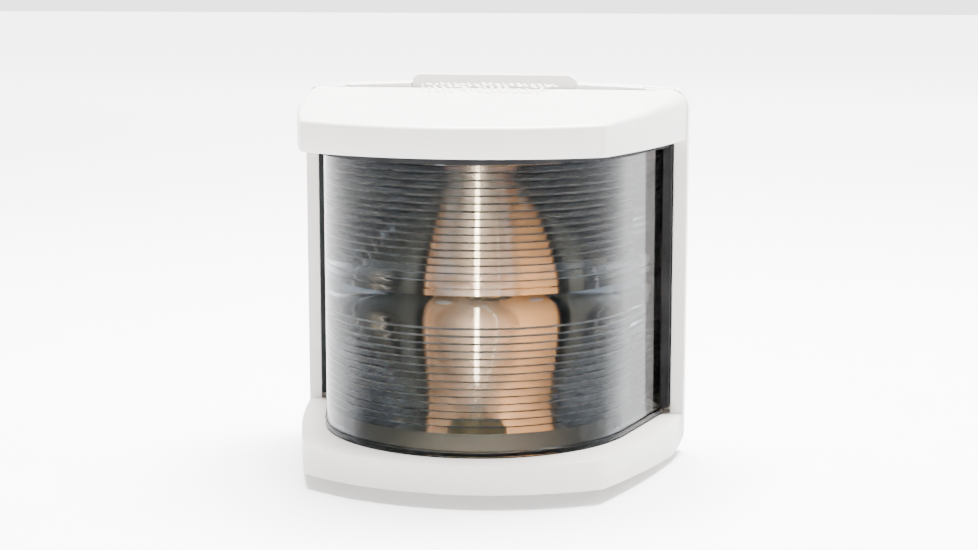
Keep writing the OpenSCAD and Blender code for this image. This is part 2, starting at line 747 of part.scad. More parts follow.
module bulb_stem() color([0.92, 0.95, 0.97, 0.4]) translate([0, -bulb_y, 0]) {
    translate([0, 0, -23.6]) cylinder(r1 = neck_r - glass_t - 0.1, r2 = 3, h = 4);
    translate([0, 0, -19.7]) cylinder(r = 3, h = 7);
    translate([-3.2, -1, -15]) cube([6.4, 2, 5]);
}

module filament() color("#ffd27a") translate([0, -bulb_y, coil_low])
    coil(0.55, 0.28, (coil_high - coil_low) / coil_halves, coil_halves);

// support wires: a short one to the lower end, a bowed one to the upper end
module filament_posts() color("#9da1a6") translate([0, -bulb_y, 0]) {
    translate([-2, 0, post_foot]) cylinder(r = wire_r, h = coil_low - 0.4 - post_foot);
    translate([-2, 0, coil_low - 0.4]) sphere(r = wire_r + 0.05);
    translate([-2, 0, coil_low - 0.4]) rotate([0, 90, 0]) cylinder(r = wire_r, h = 2);
    translate([2, 0, post_foot]) rotate([0, atan2(post_x - 2, post_rise), 0])
        cylinder(r = wire_r, h = norm([post_x - 2, post_rise]));
    translate([post_x, 0, post_foot + post_rise]) sphere(r = wire_r + 0.05);
    translate([post_x, 0, post_foot + post_rise])
        cylinder(r = wire_r, h = coil_high + 1 - post_foot - post_rise);
    translate([post_x, 0, coil_high + 1]) sphere(r = wire_r + 0.05);
    translate([0, 0, coil_high + 1]) rotate([0, 90, 0]) cylinder(r = wire_r, h = post_x);
}

base_housing();
light_screen();
heat_shield();
screen_screws();
bottom_seal();
cable_grommet();
lamp_holder();
socket_sleeve();
holder_screws();
terminals();
terminal_screws();
contact_disc();
contact_rivets();
contact_spring();
flex_leads();
release_catch();
catch_pin();
catch_spring();
top_cap();
lens();
top_seal();
side_seals();
lens_screws();
bulb_base();
bulb_pins();
bulb_insulator();
bulb_contacts();
bulb_glass();
bulb_stem();
filament();
filament_posts();
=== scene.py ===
import math

import bmesh
import bpy
from mathutils import Matrix, Vector


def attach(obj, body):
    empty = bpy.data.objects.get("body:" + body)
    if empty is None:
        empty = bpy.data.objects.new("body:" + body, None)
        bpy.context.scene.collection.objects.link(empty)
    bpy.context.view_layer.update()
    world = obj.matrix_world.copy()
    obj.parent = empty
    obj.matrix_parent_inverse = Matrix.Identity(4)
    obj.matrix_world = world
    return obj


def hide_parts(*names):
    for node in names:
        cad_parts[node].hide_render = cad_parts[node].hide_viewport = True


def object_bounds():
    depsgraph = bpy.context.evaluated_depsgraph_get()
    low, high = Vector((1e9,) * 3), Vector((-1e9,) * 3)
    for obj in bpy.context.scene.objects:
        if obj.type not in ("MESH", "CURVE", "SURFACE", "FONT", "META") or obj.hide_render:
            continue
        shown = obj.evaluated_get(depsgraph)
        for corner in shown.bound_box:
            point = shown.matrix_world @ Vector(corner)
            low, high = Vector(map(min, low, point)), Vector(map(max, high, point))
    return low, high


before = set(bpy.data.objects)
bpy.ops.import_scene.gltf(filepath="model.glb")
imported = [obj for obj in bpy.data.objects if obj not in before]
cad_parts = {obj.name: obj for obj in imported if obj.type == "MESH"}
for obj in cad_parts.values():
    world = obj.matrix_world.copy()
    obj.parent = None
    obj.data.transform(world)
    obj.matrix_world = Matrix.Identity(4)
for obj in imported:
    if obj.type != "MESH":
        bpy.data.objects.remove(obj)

CAD_LO, CAD_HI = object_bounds()

MM = 0.001
scene = bpy.context.scene

# ---------------------------------------------------------------- sizes, mm

HALF_W, FRONT_HALF, CORNER_Y, FRONT_RISE, SIDE_RISE = 55.6, 40.0, 61.0, 12.5, 1.9
WALL = 2.5
CAP_BOTTOM, CROWN_Z, CROWN_R, CROWN_TILT = 39.6, 55.4, 800.0, math.radians(6)
CAP_BACK, CAP_ROOF, CAP_CORNER = 5.3, 3.9, 1.3
LENS_R, LENS_CY, LENS_ARC, LENS_T = 43.0, 23.0, math.radians(76), 2.2
LENS_BACK, LENS_BOTTOM, LENS_TOP = -3.6, -38.4, 43.0
FLANGE_H, FLANGE_OUT = 1.5, 0.6
RIB_PITCH, RIBS_UP, RIBS_DOWN, BAND_HALF = 2.0, 17, 15, 3.5
DRAFT_UP, DRAFT_DOWN = 0.35, 0.7
BULB_Y = -28.0
SCREW_POSTS = [(-25, -49), (25, -49), (-37, -15), (37, -15)]
POST_R, PILOT_R = 3.2, 1.2

front_r = (FRONT_HALF ** 2 + FRONT_RISE ** 2) / (2 * FRONT_RISE)
front_cy = -CORNER_Y - FRONT_RISE + front_r
chord = math.hypot(HALF_W - FRONT_HALF, CORNER_Y)
side_r = (chord ** 2 / 4 + SIDE_RISE ** 2) / (2 * SIDE_RISE)
side_nx, side_ny = CORNER_Y / chord, -(HALF_W - FRONT_HALF) / chord
side_cx = (HALF_W + FRONT_HALF) / 2 - side_nx * (side_r - SIDE_RISE)
side_cy = -CORNER_Y / 2 - side_ny * (side_r - SIDE_RISE)

lens_tx = LENS_R * math.sin(LENS_ARC)
lens_ty = -LENS_CY - LENS_R * math.cos(LENS_ARC)


def crown(x, y, drop=0.0):
    """Height of the crowned top at x, y."""
    s, c = math.sin(CROWN_TILT), math.cos(CROWN_TILT)
    q = math.sqrt(CROWN_R ** 2 - x * x)
    return CROWN_Z - drop - CROWN_R * c + (q + (y - CROWN_R * s) * s) / c


def slope(y, drop):
    """Height of the sloped plane under the crown."""
    return CROWN_Z - drop + y * math.tan(CROWN_TILT)


# ---------------------------------------------------------------- materials

def material(name):
    """A new finish with its nodes, links and shader."""
    m = bpy.data.materials.new(name)
    m.use_nodes = True
    return m, m.node_tree.nodes, m.node_tree.links, m.node_tree.nodes["Principled BSDF"]


def noise(nodes, links, scale, detail, rough=0.5, stretch=(1, 1, 1)):
    """Noise texture fixed to the object."""
    tc = nodes.new("ShaderNodeTexCoord")
    mp = nodes.new("ShaderNodeMapping")
    mp.inputs["Scale"].default_value = stretch
    n = nodes.new("ShaderNodeTexNoise")
    n.inputs["Scale"].default_value = scale
    n.inputs["Detail"].default_value = detail
    n.inputs["Roughness"].default_value = rough
    links.new(tc.outputs["Object"], mp.inputs["Vector"])
    links.new(mp.outputs["Vector"], n.inputs["Vector"])
    return n


# part of a noise texture's range over which the two ends of a finish meet
NOISE_LOW, NOISE_HIGH = 0.3, 0.7
GRAIN_HEIGHT = 0.0001


def vary(nodes, links, source, low, high, target):
    """Colour that runs between two tones with a texture."""
    ramp = nodes.new("ShaderNodeValToRGB")
    ramp.color_ramp.elements[0].position = NOISE_LOW
    ramp.color_ramp.elements[1].position = NOISE_HIGH
    ramp.color_ramp.elements[0].color = (*low, 1)
    ramp.color_ramp.elements[1].color = (*high, 1)
    links.new(source.outputs["Fac"], ramp.inputs["Fac"])
    links.new(ramp.outputs["Color"], target)


def vary_value(nodes, links, source, low, high, target):
    """Value that runs between two ends with a texture."""
    mr = nodes.new("ShaderNodeMapRange")
    mr.inputs["From Min"].default_value = NOISE_LOW
    mr.inputs["From Max"].default_value = NOISE_HIGH
    mr.inputs["To Min"].default_value = low
    mr.inputs["To Max"].default_value = high
    links.new(source.outputs["Fac"], mr.inputs["Value"])
    links.new(mr.outputs["Result"], target)


def bump(nodes, links, source, strength, distance, bsdf):
    """Fine relief from a texture."""
    b = nodes.new("ShaderNodeBump")
    b.inputs["Strength"].default_value = strength
    b.inputs["Distance"].default_value = distance
    links.new(source.outputs["Fac"], b.inputs["Height"])
    links.new(b.outputs["Normal"], bsdf.inputs["Normal"])


def moulded(name, low, high, rough, grain, depth, specular=0.5):
    """Moulded plastic: faint tone drift, uneven gloss, fine grain."""
    m, nodes, links, bsdf = material(name)
    vary(nodes, links, noise(nodes, links, 45, 3), low, high, bsdf.inputs["Base Color"])
    vary_value(nodes, links, noise(nodes, links, 160, 5), *rough, bsdf.inputs["Roughness"])
    bump(nodes, links, noise(nodes, links, grain, 3), depth, GRAIN_HEIGHT, bsdf)
    bsdf.inputs["Specular IOR Level"].default_value = specular
    return m


def metal(name, low, high, rough, stretch, scale, depth):
    """Metal with drawn or rolled lines along one direction."""
    m, nodes, links, bsdf = material(name)
    bsdf.inputs["Metallic"].default_value = 1.0
    grain = noise(nodes, links, scale, 5, 0.6, stretch)
    vary(nodes, links, noise(nodes, links, 60, 3), low, high, bsdf.inputs["Base Color"])
    vary_value(nodes, links, grain, *rough, bsdf.inputs["Roughness"])
    bump(nodes, links, grain, depth, GRAIN_HEIGHT, bsdf)
    return m


def ramp_between(nodes, start, end, low, high, smooth=False):
    """Range node that goes from low to high while its input goes from start to end."""
    node = nodes.new("ShaderNodeMapRange")
    if smooth:
        node.interpolation_type = "SMOOTHSTEP"
    node.inputs["From Min"].default_value = start
    node.inputs["From Max"].default_value = end
    node.inputs["To Min"].default_value = low
    node.inputs["To Max"].default_value = high
    return node


# colours of the shield, mm: heat colour across it, and up it where it gets darker
TINT_LEFT, TINT_RIGHT = -2, 12
DARKEN_FROM, DARKEN_TO, DARKEST = -12, 12, 0.32


def heat_tinted(name, plain, tinted):
    """Rolled aluminium, coloured by heat towards its right side."""
    m = metal(name, plain, plain, (0.28, 0.44), (1, 1, 0.04), 900, 0.10)
    nodes, links = m.node_tree.nodes, m.node_tree.links
    bsdf = nodes["Principled BSDF"]
    coord = nodes.new("ShaderNodeTexCoord")
    axes = nodes.new("ShaderNodeSeparateXYZ")
    across = ramp_between(nodes, TINT_LEFT * MM, TINT_RIGHT * MM, 0.0, 1.0)
    ramp = nodes.new("ShaderNodeValToRGB")
    ramp.color_ramp.elements[0].color = (*plain, 1)
    ramp.color_ramp.elements[1].color = (*tinted, 1)
    links.new(coord.outputs["Object"], axes.inputs["Vector"])
    links.new(axes.outputs["X"], across.inputs["Value"])
    links.new(across.outputs["Result"], ramp.inputs["Fac"])
    # darker towards the top, over the bulb
    upward = ramp_between(nodes, DARKEN_FROM * MM, DARKEN_TO * MM, 1.0, DARKEST)
    shade = nodes.new("ShaderNodeVectorMath")
    shade.operation = "SCALE"
    links.new(axes.outputs["Z"], upward.inputs["Value"])
    links.new(ramp.outputs["Color"], shade.inputs[0])
    links.new(upward.outputs["Result"], shade.inputs["Scale"])
    links.new(shade.outputs["Vector"], bsdf.inputs["Base Color"])
    return m


def rubber(name, low, high):
    """Matt rubber with a fine grain."""
    m, nodes, links, bsdf = material(name)
    vary(nodes, links, noise(nodes, links, 120, 4), low, high, bsdf.inputs["Base Color"])
    vary_value(nodes, links, noise(nodes, links, 300, 4), 0.65, 0.85, bsdf.inputs["Roughness"])
    bump(nodes, links, noise(nodes, links, 1500, 3), 0.2, GRAIN_HEIGHT, bsdf)
    bsdf.inputs["Specular IOR Level"].default_value = 0.12
    return m


def clear(name, tint, rough, ior, waviness, gleam, smoke, density):
    """Clear moulded plastic that darkens what is seen through much of it."""
    m, nodes, links, bsdf = material(name)
    bsdf.inputs["Base Color"].default_value = (*tint, 1)
    bsdf.inputs["Roughness"].default_value = rough
    bsdf.inputs["IOR"].default_value = ior
    bsdf.inputs["Transmission Weight"].default_value = 1.0
    bsdf.inputs["Specular Tint"].default_value = (*gleam, 1)
    bump(nodes, links, noise(nodes, links, 70, 2), waviness, 4 * GRAIN_HEIGHT, bsdf)
    haze = nodes.new("ShaderNodeVolumeAbsorption")
    haze.inputs["Color"].default_value = (*smoke, 1)
    haze.inputs["Density"].default_value = density
    links.new(haze.outputs["Volume"], nodes["Material Output"].inputs["Volume"])
    return m


def film(name, tint, rough, alpha):
    """Thin glass: nearly all goes straight through, a little is mirrored."""
    m, nodes, links, bsdf = material(name)
    bsdf.inputs["Base Color"].default_value = (*tint, 1)
    bsdf.inputs["Metallic"].default_value = 1.0
    bsdf.inputs["Roughness"].default_value = rough
    vary_value(nodes, links, noise(nodes, links, 120, 3), alpha * 0.8, alpha * 1.2,
               bsdf.inputs["Alpha"])
    return m


def glow(name, colour, strength):
    """A hot wire."""
    m, nodes, links, bsdf = material(name)
    bsdf.inputs["Base Color"].default_value = (*colour, 1)
    bsdf.inputs["Emission Color"].default_value = (*colour, 1)
    bsdf.inputs["Emission Strength"].default_value = strength
    bsdf.inputs["Roughness"].default_value = 0.5
    return m


SHELL_TONES = (0.79, 0.755, 0.725), (0.84, 0.805, 0.775)
WHITE = moulded("white_plastic", *SHELL_TONES, (0.30, 0.40), 700, 0.04)
# the base's white, which also carries painted shade behind the light screen
BASE_WHITE_PAINTED_SHADE = moulded("base_plastic_painted_shade", *SHELL_TONES, (0.30, 0.40), 700, 0.04)
# dark grey for the hollow inside of the cap: painted shade in the recess of the white shell
CAP_INSIDE_SHADE = moulded("cap_inside_painted_shade", (0.13, 0.128, 0.125), (0.16, 0.158, 0.155),
                     (0.55, 0.70), 700, 0.04)
CATCH_WHITE = moulded("catch_plastic", (0.83, 0.81, 0.785), (0.87, 0.85, 0.825),
                      (0.42, 0.55), 900, 0.10)
BLACK = moulded("black_plastic", (0.006, 0.0075, 0.0085), (0.010, 0.012, 0.0135),
                (0.50, 0.65), 1200, 0.10, specular=0.12)
HOLDER = moulded("holder_plastic", (0.055, 0.048, 0.045), (0.085, 0.075, 0.07),
                 (0.40, 0.55), 800, 0.15)
FIBRE = moulded("fibre_board", (0.20, 0.115, 0.06), (0.33, 0.20, 0.11),
                (0.55, 0.70), 1500, 0.25)
CEMENT = moulded("bulb_cement", (0.02, 0.02, 0.025), (0.045, 0.045, 0.05),
                 (0.15, 0.30), 600, 0.05)
FLANK = moulded("rib_flank", (0.20, 0.205, 0.215), (0.27, 0.275, 0.285),
                (0.45, 0.60), 900, 0.1)
RUBBER = rubber("seal_rubber", (0.006, 0.006, 0.0065), (0.014, 0.014, 0.015))
LEAD = rubber("lead_sleeve", (0.35, 0.045, 0.035), (0.48, 0.07, 0.05))
SHIELD = heat_tinted("shield_aluminium", (0.40, 0.28, 0.20), (0.62, 0.36, 0.185))
EVEN, UPRIGHT = (1, 1, 1), (1, 1, 0.1)  # grain, or lines drawn along Z
STEEL = metal("steel_screws", (0.50, 0.50, 0.51), (0.62, 0.62, 0.63),
              (0.25, 0.42), EVEN, 700, 0.08)
SPRING = metal("spring_steel", (0.42, 0.43, 0.45), (0.55, 0.56, 0.58),
               (0.22, 0.36), EVEN, 900, 0.05)
BRASS = metal("brass", (0.66, 0.48, 0.22), (0.78, 0.60, 0.32),
              (0.24, 0.42), UPRIGHT, 600, 0.08)
BULB_BRASS = metal("bulb_brass", (0.72, 0.56, 0.30), (0.84, 0.68, 0.42),
                   (0.18, 0.34), UPRIGHT, 500, 0.06)
SOLDER = metal("solder", (0.55, 0.55, 0.56), (0.68, 0.68, 0.69),
               (0.30, 0.50), EVEN, 900, 0.20)
NICKEL = metal("post_wire", (0.50, 0.49, 0.47), (0.62, 0.61, 0.59),
               (0.22, 0.35), UPRIGHT, 900, 0.05)
LENS_INDEX = 1.49
LENS = clear("lens_clear", (0.66, 0.69, 0.72), 0.075, LENS_INDEX, waviness=0.03,
             gleam=(0.20, 0.22, 0.25), smoke=(0.0, 0.05, 0.10), density=180.0)
BULB_GLASS = film("bulb_glass", (0.95, 0.96, 0.97), 0.02, 0.07)
FILAMENT = glow("filament_wire", (1.0, 0.84, 0.60), 8000.0)


def paint_shade_within(m, lo, hi, dark):
    """Paints shade on the part of a finish inside a box, in mm: a dark tone over its colour."""
    nodes, links = m.node_tree.nodes, m.node_tree.links
    target = nodes["Principled BSDF"].inputs["Base Color"]
    plain = target.links[0].from_socket
    coord = nodes.new("ShaderNodeTexCoord")
    axes = nodes.new("ShaderNodeSeparateXYZ")
    links.new(coord.outputs["Object"], axes.inputs["Vector"])
    inside = None
    for axis, low, high in zip("XYZ", lo, hi):
        test = nodes.new("ShaderNodeMath")
        test.operation = "COMPARE"
        test.inputs[1].default_value = (low + high) / 2 * MM
        test.inputs[2].default_value = (high - low) / 2 * MM
        links.new(axes.outputs[axis], test.inputs[0])
        if inside:
            both = nodes.new("ShaderNodeMath")
            both.operation = "MULTIPLY"
            links.new(inside, both.inputs[0])
            links.new(test.outputs["Value"], both.inputs[1])
            inside = both.outputs["Value"]
        else:
            inside = test.outputs["Value"]
    mix = nodes.new("ShaderNodeMixRGB")
    mix.inputs["Color2"].default_value = (*dark, 1)
    links.new(inside, mix.inputs["Fac"])
    links.new(plain, mix.inputs["Color1"])
    links.new(mix.outputs["Color"], target)


# painted shade: the face of the back plate inside the lens, behind the light screen, turned near
# black
SHADED_PLATE_FACE = (-41.3, -6.5, -38.2), (41.3, -2.6, 38.5)
paint_shade_within(BASE_WHITE_PAINTED_SHADE, *SHADED_PLATE_FACE, (0.012, 0.013, 0.014))

# ---------------------------------------------------------------- mesh helpers

WELD_GAP = 1e-7  # m
ON_AXIS = 1e-6  # mm


def make(name, parts, mat, body, smooth):
    """A mesh piece from shapes in mm, with smooth shading up to an angle in degrees."""
    me = bpy.data.meshes.new(name)
    me.from_pydata([tuple(c * MM for c in v) for v in parts.v], [], parts.f)
    me.validate()
    bm = bmesh.new()
    bm.from_mesh(me)
    bmesh.ops.remove_doubles(bm, verts=bm.verts, dist=WELD_GAP)
    bmesh.ops.recalc_face_normals(bm, faces=bm.faces)
    limit = math.radians(smooth)
    for f in bm.faces:
        f.smooth = True
    for e in bm.edges:
        e.smooth = len(e.link_faces) == 2 and e.calc_face_angle(0) < limit
    bm.to_mesh(me)
    bm.free()
    me.materials.append(mat)
    ob = bpy.data.objects.new(name, me)
    scene.collection.objects.link(ob)
    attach(ob, body)
    return ob


def circle(r, n):
    """Points of a circle round the origin, in order."""
    return [(r * math.cos(a), r * math.sin(a)) for a in (2 * math.pi * k / n for k in range(n))]


class Parts:
    """Collects several shapes into one mesh."""

    def __init__(self):
        self.v, self.f = [], []

    def add(self, verts, faces):
        n = len(self.v)
        self.v += verts
        self.f += [tuple(i + n for i in f) for f in faces]

    def rings(self, rings):
        """Joins rings of equal length, one after another, and caps both ends."""
        n = len(rings[0])
        verts = [p for r in rings for p in r]
        faces = []
        for k in range(len(rings) - 1):
            for i in range(n):
                j = (i + 1) % n
                faces.append((k * n + i, k * n + j, (k + 1) * n + j, (k + 1) * n + i))
        faces.append(tuple(reversed(range(n))))
        faces.append(tuple((len(rings) - 1) * n + i for i in range(n)))
        self.add(verts, faces)

    def lathe(self, profile, centre, segs, closed=False):
        """Turns a profile of (radius, z) round an upright axis."""
        rings = []
        for cos, sin in circle(1, segs):
            rings.append([(centre[0] + r * cos, centre[1] + r * sin, z) for r, z in profile])
        n = len(profile)
        verts = [p for r in rings for p in r]
        faces = []
        for k in range(segs):
            m = (k + 1) % segs
            for i in range(n if closed else n - 1):
                j = (i + 1) % n
                quad = [k * n + i, m * n + i, m * n + j, k * n + j]
                if profile[i][0] < ON_AXIS:
                    quad = [k * n + i, m * n + j, k * n + j]
                elif profile[j][0] < ON_AXIS:
                    quad = [k * n + i, m * n + i, k * n + j]
                faces.append(tuple(quad))
        self.add(verts, faces)

    def tube(self, points, radius, segs):
        """A round wire through points."""
        pts = [Vector(p) for p in points]
        rings = []
        side = None
        for i, p in enumerate(pts):
            t = (pts[min(i + 1, len(pts) - 1)] - pts[max(i - 1, 0)]).normalized()
            if side is None:
                side = t.orthogonal().normalized()
            side = (side - t * side.dot(t)).normalized()
            up = t.cross(side)
            rings.append([tuple(p + (side * cos + up * sin) * radius)
                          for cos, sin in circle(1, segs)])
        self.rings(rings)


# ---------------------------------------------------------------- outlines

SIDE_STEPS, CORNER_STEPS, FRONT_STEPS = 40, 8, 48
SHARPEST = 0.06  # smallest radius of a front corner


def plan_half(inset, back):
    """Right half of the plan outline, from the back to the middle of the front.

    Each point is (x, y, nx, ny), with its outward direction.
    """
    rs, rf = side_r - inset, front_r - inset
    corner = max(CAP_CORNER - inset, SHARPEST)
    # the corner arc touches both the side arc and the front arc
    ds, df = rs - corner, rf - corner
    dx, dy = -side_cx, front_cy - side_cy
    d = math.hypot(dx, dy)
    a = (ds * ds - df * df + d * d) / (2 * d)
    h = math.sqrt(max(ds * ds - a * a, 0))
    px, py = side_cx + a * dx / d, side_cy + a * dy / d
    options = [(px + h * dy / d, py - h * dx / d), (px - h * dy / d, py + h * dx / d)]
    kx, ky = max(options, key=lambda p: (p[0], -p[1]) if p[1] < 0 else (-1e9, 0))
    a_back = math.asin((-back - side_cy) / rs)
    a_side = math.atan2(ky - side_cy, kx - side_cx)
    a_front = math.atan2(ky - front_cy, kx)
    out = []
    for cx, cy, r, start, end, steps in ((side_cx, side_cy, rs, a_back, a_side, SIDE_STEPS),
                                         (kx, ky, corner, a_side, a_front, CORNER_STEPS),
                                         (0, front_cy, rf, a_front, -math.pi / 2, FRONT_STEPS)):
        for k in range(1 if out else 0, steps + 1):
            t = start + (end - start) * k / steps
            nx, ny = math.cos(t), math.sin(t)
            out.append((cx + r * nx, cy + r * ny, nx, ny))
    return out


def plan_loop(inset, back):
    """The whole plan outline, closed by a straight line along the wall."""
    right = plan_half(inset, back)
    left = [(-x, y, -nx, ny) for x, y, nx, ny in reversed(right[:-1])]
    return right + left


def lens_path(arc_steps, side_steps, back):
    """Stations (x, y, nx, ny) along the lens, from its right rear edge to its left one."""
    cos, sin = math.cos(LENS_ARC), math.sin(LENS_ARC)
    run = (back - lens_ty) / sin
    right = []
    for k in range(side_steps):
        t = run * (1 - k / side_steps)
        right.append((lens_tx + t * cos, lens_ty + t * sin, sin, -cos))
    arc = []
    for k in range(arc_steps + 1):
        t = LENS_ARC - 2 * LENS_ARC * k / arc_steps
        nx, ny = math.sin(t), -math.cos(t)
        arc.append((LENS_R * nx, -LENS_CY + LENS_R * ny, nx, ny))
    left = [(-x, y, -nx, ny) for x, y, nx, ny in reversed(right)]
    return right + arc + left


def sweep(parts, profile, path, back):
    """Runs a closed profile of (offset, z) along a path, its ends cut flat at y = back."""
    rings = []
    for i, (x, y, nx, ny) in enumerate(path):
        ring = []
        for off, z in profile:
            px, py = x + nx * off, y + ny * off
            if i in (0, len(path) - 1):
                # slide the end points along the side until they meet the cut
                slide = (back - py) / abs(nx)
                px, py = px + math.copysign(slide * abs(ny), nx), back
            ring.append((px, py, z))
        rings.append(ring)
    parts.rings(rings)


# ---------------------------------------------------------------- top cap

FILLET_BACK, FILLET_FRONT = 4.2, 0.9  # radius of the rounded top edge
FILLET_FROM, FILLET_RUN, FILLET_POWER = 4, 58, 0.8
FILLET_STEPS = 6
CAP_MIDDLE_Y = -34.0
CEILING_SPOKES = (0.02, 0.5, 1.0)
CROWN_SPOKES = (0.96, 0.9, 0.8, 0.65, 0.5, 0.35, 0.2, 0.08)
LOWER_EDGE = ((0.35, 0.0), (0.1, 0.1), (0.0, 0.35))  # (inset, rise)


def cap_fillet(y):
    """Radius of the rounded top edge: small at the front, larger towards the wall."""
    t = min(max((-y - FILLET_FROM) / FILLET_RUN, 0), 1)
    return FILLET_BACK + (FILLET_FRONT - FILLET_BACK) * t ** FILLET_POWER


def shrunk(x, y, share):
    """A point moved towards the middle of the cap."""
    return x * share, CAP_MIDDLE_Y + (y - CAP_MIDDLE_Y) * share


def build_cap():
    """The domed shell, from the middle of its ceiling out and round to its crown."""
    loop = plan_loop(0, CAP_BACK)
    inner = plan_loop(WALL, CAP_BACK + WALL)
    rings = []
    # ceiling, then down the inner wall to the rim
    for share in CEILING_SPOKES:
        spots = [shrunk(x, y, share) for x, y, _, _ in inner]
        rings.append([(x, y, slope(y, CAP_ROOF)) for x, y in spots])
    rings.append([(x, y, CAP_BOTTOM) for x, y, _, _ in inner])
    for off, rise in LOWER_EDGE:
        rings.append([(x - nx * off, y - ny * off, CAP_BOTTOM + rise) for x, y, nx, ny in loop])
    # up the outer wall and over the rounded edge
    for k in range(FILLET_STEPS + 1):
        a = math.pi / 2 * k / FILLET_STEPS
        ring = []
        for i, (x, y, nx, ny) in enumerate(loop):
            r = cap_fillet(y)
            off = r * (1 - math.cos(a))
            ix, iy = x - nx * off, min(y - ny * off, -CAP_BACK)
            if i in (0, len(loop) - 1):
                iy = -CAP_BACK
            ring.append((ix, iy, crown(ix, iy) - r * (1 - math.sin(a))))
        rings.append(ring)
    edge = rings[-1]
    for share in CROWN_SPOKES:
        spots = [shrunk(x, y, share) for x, y, _ in edge]
        rings.append([(x, y, crown(x, y)) for x, y in spots])
    shell = Parts()
    shell.rings(rings)
    return shell


COLLAR_GAP, COLLAR_OUT = 0.2, 2.0  # wall round the top of the lens, off the lens
COLLAR_SINK, POST_SINK = 0.6, 0.8  # how far they run up into the roof
TONGUE_IN, TONGUE_OUT, TONGUE_BACK = 43.0, 51.2, -2.8
HEXAHEDRON = [(0, 1, 3, 2), (4, 6, 7, 5), (0, 4, 5, 1), (2, 3, 7, 6), (0, 2, 6, 4), (1, 5, 7, 3)]


def cap_inside(p):
    """The wall round the top of the lens, the screw posts and the tongues."""
    rings = []
    for x, y, nx, ny in lens_path(60, 4, -CAP_BACK - 1):
        near, away = ((x + nx * off, y + ny * off) for off in (COLLAR_GAP, COLLAR_OUT))
        ring = [(*q, CAP_BOTTOM) for q in (near, away)]
        ring += [(*q, slope(q[1], WALL + COLLAR_SINK)) for q in (away, near)]
        rings.append(ring)
    p.rings(rings)
    for x, y in SCREW_POSTS:
        top = slope(y, WALL + POST_SINK)
        p.lathe([(PILOT_R, LENS_TOP), (POST_R - 0.2, LENS_TOP), (POST_R, LENS_TOP + 0.2),
                 (POST_R, top), (PILOT_R, top)], (x, y), 28, True)
    for side in (-1, 1):
        corners = []
        for x in sorted((side * TONGUE_IN, side * TONGUE_OUT)):
            for y in (-CAP_BACK - 0.5, TONGUE_BACK):
                corners += [(x, y, CAP_BOTTOM + 0.1), (x, y, crown(x, y, 0.05))]
        p.add(corners, HEXAHEDRON)


cap = build_cap()
cap_inside(cap)
cap_ob = make("cap_shell", cap, WHITE, "cover", 32)
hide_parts("top_cap")


def inside_cap(p):
    """True for points in the hollow: clear of the outline, the rim and the crown."""
    depth = min(front_r - math.hypot(p.x, p.y - front_cy),
                side_r - math.hypot(abs(p.x) - side_cx, p.y - side_cy), -CAP_BACK - p.y)
    return depth > WALL - 0.5 and CAP_BOTTOM + 0.2 < p.z < crown(p.x, p.y) - WALL


# faces in the cap's hollow take the dark grey: painted shade inside the white shell
cap_ob.data.materials.append(CAP_INSIDE_SHADE)
for face in cap_ob.data.polygons:
    face.material_index = int(inside_cap(face.center / MM))

# stippled thumb grip in front of the catch: uneven raised dots that thin out to the front
GRIP_ROWS, GRIP_ROW_GAP, GRIP_BACK_Y = 8, 1.85, -7.5
GRIP_HALF, GRIP_NARROWING, GRIP_X = 19.5, 0.5, -1.5
GRIP_PITCH, GRIP_DOT, GRIP_RISE, GRIP_SINK = 2.0, 0.62, 0.32, 0.03
GRIP_BARE, GRIP_BARER = 0.08, 0.06  # share of missing dots, and its growth per row
DOT_PROFILE = ((1, 0), (0.86, 0.62), (0.5, 0.93), (0, 1))  # shares of radius and rise


def scatter(k, row):
    """A fixed, uneven number from 0 to 1 for one dot."""
    swirl = math.sin(12.9898 * k + 78.233 * row) * 43758.5453
    return swirl - math.floor(swirl)


grip = Parts()
for row in range(GRIP_ROWS):
    count = int(2 * (GRIP_HALF - GRIP_NARROWING * row) / GRIP_PITCH)
    for k in range(count + 1):
        chance = scatter(k, row)
        if chance < GRIP_BARE + GRIP_BARER * row:
            continue
        x = (GRIP_X + (k - count / 2) * GRIP_PITCH + (0.5 * GRIP_PITCH if row % 2 else 0)
             + 0.5 * (chance - 0.5))
        y = GRIP_BACK_Y - row * GRIP_ROW_GAP + 0.7 * math.sin(9.0 * chance + k)
        z = crown(x, y) - GRIP_SINK
        r = GRIP_DOT * (0.7 + 0.5 * chance)
        grip.lathe([(r * wide, z + GRIP_RISE * up) for wide, up in DOT_PROFILE], (x, y), 10)
make("thumb_grip", grip, WHITE, "cover", 60)

# ---------------------------------------------------------------- lens

FOCUS = LENS_CY + LENS_R - LENS_T + BULB_Y  # from the inner wall to the bulb's axis
LIFT, LIFT_FALL = 6.6, 0.075  # rise of the beam in the lens, degrees, and its fall per mm up
AIM_OFF = 2.0  # the ribs aim this far off the light centre, on their own side
STEEPEST_UP, STEEPEST_DOWN = math.radians(37), math.radians(50.5)
BAND_FOOT, BAND_BULGE, BAND_STEPS = 0.1, 0.9, 8
BOSS_R, BOSS_HOLE_R, BOSS_DEPTH = 3.4, 1.5, 2.5


def rib_depth(z, side, steepest, draft):
    """Depth of the rib at height z that sends light from the bulb out a little upward."""
    aim, lift = math.atan((abs(z) - AIM_OFF) / FOCUS), math.radians(LIFT - LIFT_FALL * z)
    steep = math.atan((math.sin(aim) - side * LENS_INDEX * math.sin(lift))
                      / (LENS_INDEX * math.cos(lift) - math.cos(aim)))
    return (RIB_PITCH - draft) * math.tan(min(steepest, steep))


